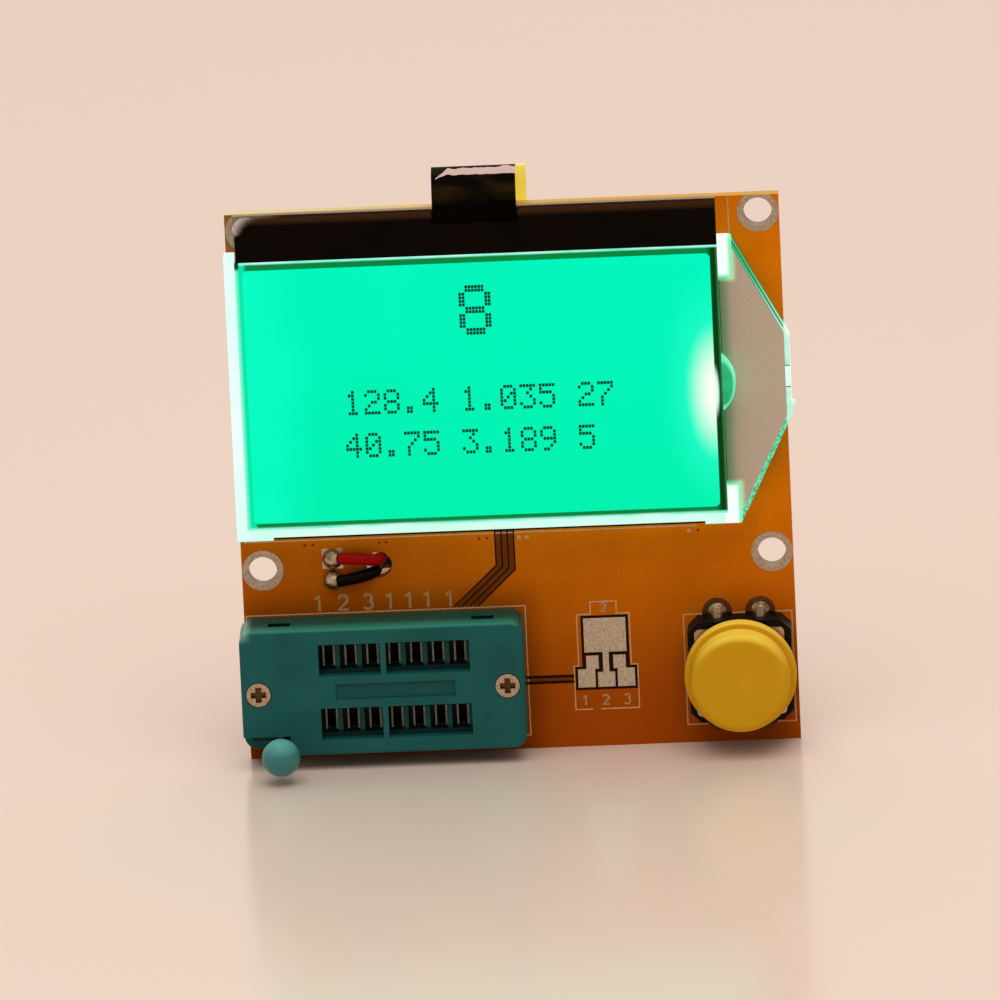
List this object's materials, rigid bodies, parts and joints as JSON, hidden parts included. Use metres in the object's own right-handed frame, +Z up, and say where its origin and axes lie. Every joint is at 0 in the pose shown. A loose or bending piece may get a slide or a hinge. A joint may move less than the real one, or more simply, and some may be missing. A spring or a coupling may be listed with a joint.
{
  "type": "component tester",
  "caption": "Bare-board electronic component tester with a backlit display, a lever-operated test socket, a round push button and a battery on a clip lead.",
  "frame": {"origin": "middle of the board's lower edge, halfway through the board's thickness", "axes": "+X to the viewer's right, +Y from the front to the back, +Z up along the board"},
  "size_m": [0.0655, 0.0453, 0.0702],
  "materials": {
    "board_mask": "satin solder mask",
    "tinned_metal": "dull tin",
    "white_film": "matt film",
    "acrylic": "polished",
    "lamp_resin": "clear resin",
    "mask_film": "matt tape",
    "polarizer": "satin film",
    "display_glass": "polished",
    "seal_resin": "clear resin",
    "black_resin": "gloss",
    "chip_black": "moulded",
    "flex_film": "gloss film",
    "socket_plastic": "moulded",
    "spring_bronze": "plated",
    "screw_steel": "plated",
    "knob_plastic": "moulded",
    "switch_plastic": "moulded",
    "switch_steel": "pressed sheet",
    "cap_plastic": "moulded",
    "solder": "bright solder",
    "can_steel": "drawn can",
    "resistor_glaze": "glazed",
    "ceramic_tan": "fired",
    "battery_wrap": "printed sleeve",
    "nickel": "plated",
    "snap_vinyl": "soft vinyl",
    "wire_red": "soft insulation",
    "wire_black": "soft insulation"
  },
  "bodies": {
    "board": {"circuit_board": "board_mask", "mounting_rings": "tinned_metal", "test_pads": "tinned_metal", "reflector_film": "white_film", "light_guide": "acrylic", "backlight_led": "lamp_resin", "led_pins": "tinned_metal", "wedge_film": "mask_film", "diffuser_film": "white_film", "rear_polarizer": "polarizer", "lcd_rear_glass": "display_glass", "lcd_front_glass": "display_glass", "front_polarizer": "polarizer", "fill_port_seal": "seal_resin", "ledge_coating": "black_resin", "driver_chip": "chip_black", "lcd_flex": "flex_film", "zif_base": "socket_plastic", "zif_cover": "socket_plastic", "zif_contacts": "spring_bronze", "zif_screws": "screw_steel", "switch_base": "switch_plastic", "switch_plate": "switch_steel", "switch_pins": "tinned_metal", "switch_dome": "switch_steel", "switch_solder": "solder", "back_solder": "solder", "microcontroller": "chip_black", "microcontroller_leads": "tinned_metal", "crystal": "can_steel", "regulator": "chip_black", "reference": "chip_black", "transistors": "chip_black", "chip_leads": "tinned_metal", "resistors": "resistor_glaze", "capacitors": "ceramic_tan", "battery_case": "battery_wrap", "battery_posts": "nickel", "snap_studs": "nickel", "battery_snap": "snap_vinyl", "wire_pads": "tinned_metal", "wire_solder": "solder", "battery_wire_red": "wire_red", "battery_wire_black": "wire_black"},
    "lever": {"zif_lever": "screw_steel", "zif_lever_ball": "knob_plastic"},
    "slider": {"zif_slider": "socket_plastic"},
    "button": {"switch_plunger": "switch_plastic", "button_cap": "cap_plastic"}
  },
  "joints": [
    {"name": "lever_turn", "type": "hinge", "parent": "board", "child": "lever", "pos_m": [-0.028, -0.0043, 0.0033], "axis": [0, 0, -1], "range_deg": [0, 90]},
    {"name": "slider_move", "type": "slide", "parent": "board", "child": "slider", "axis": [1, 0, 0], "range_m": [0, 0.0005]},
    {"name": "button_press", "type": "slide", "parent": "board", "child": "button", "axis": [0, 1, 0], "range_m": [0, 0.0003], "stiffness_N_per_m": 5000, "deforming": ["switch_dome"]}
  ],
  "couplings": [
    {"joint": "lever_turn", "follows": "slider_move", "rad_per_m": 3141}
  ]
}
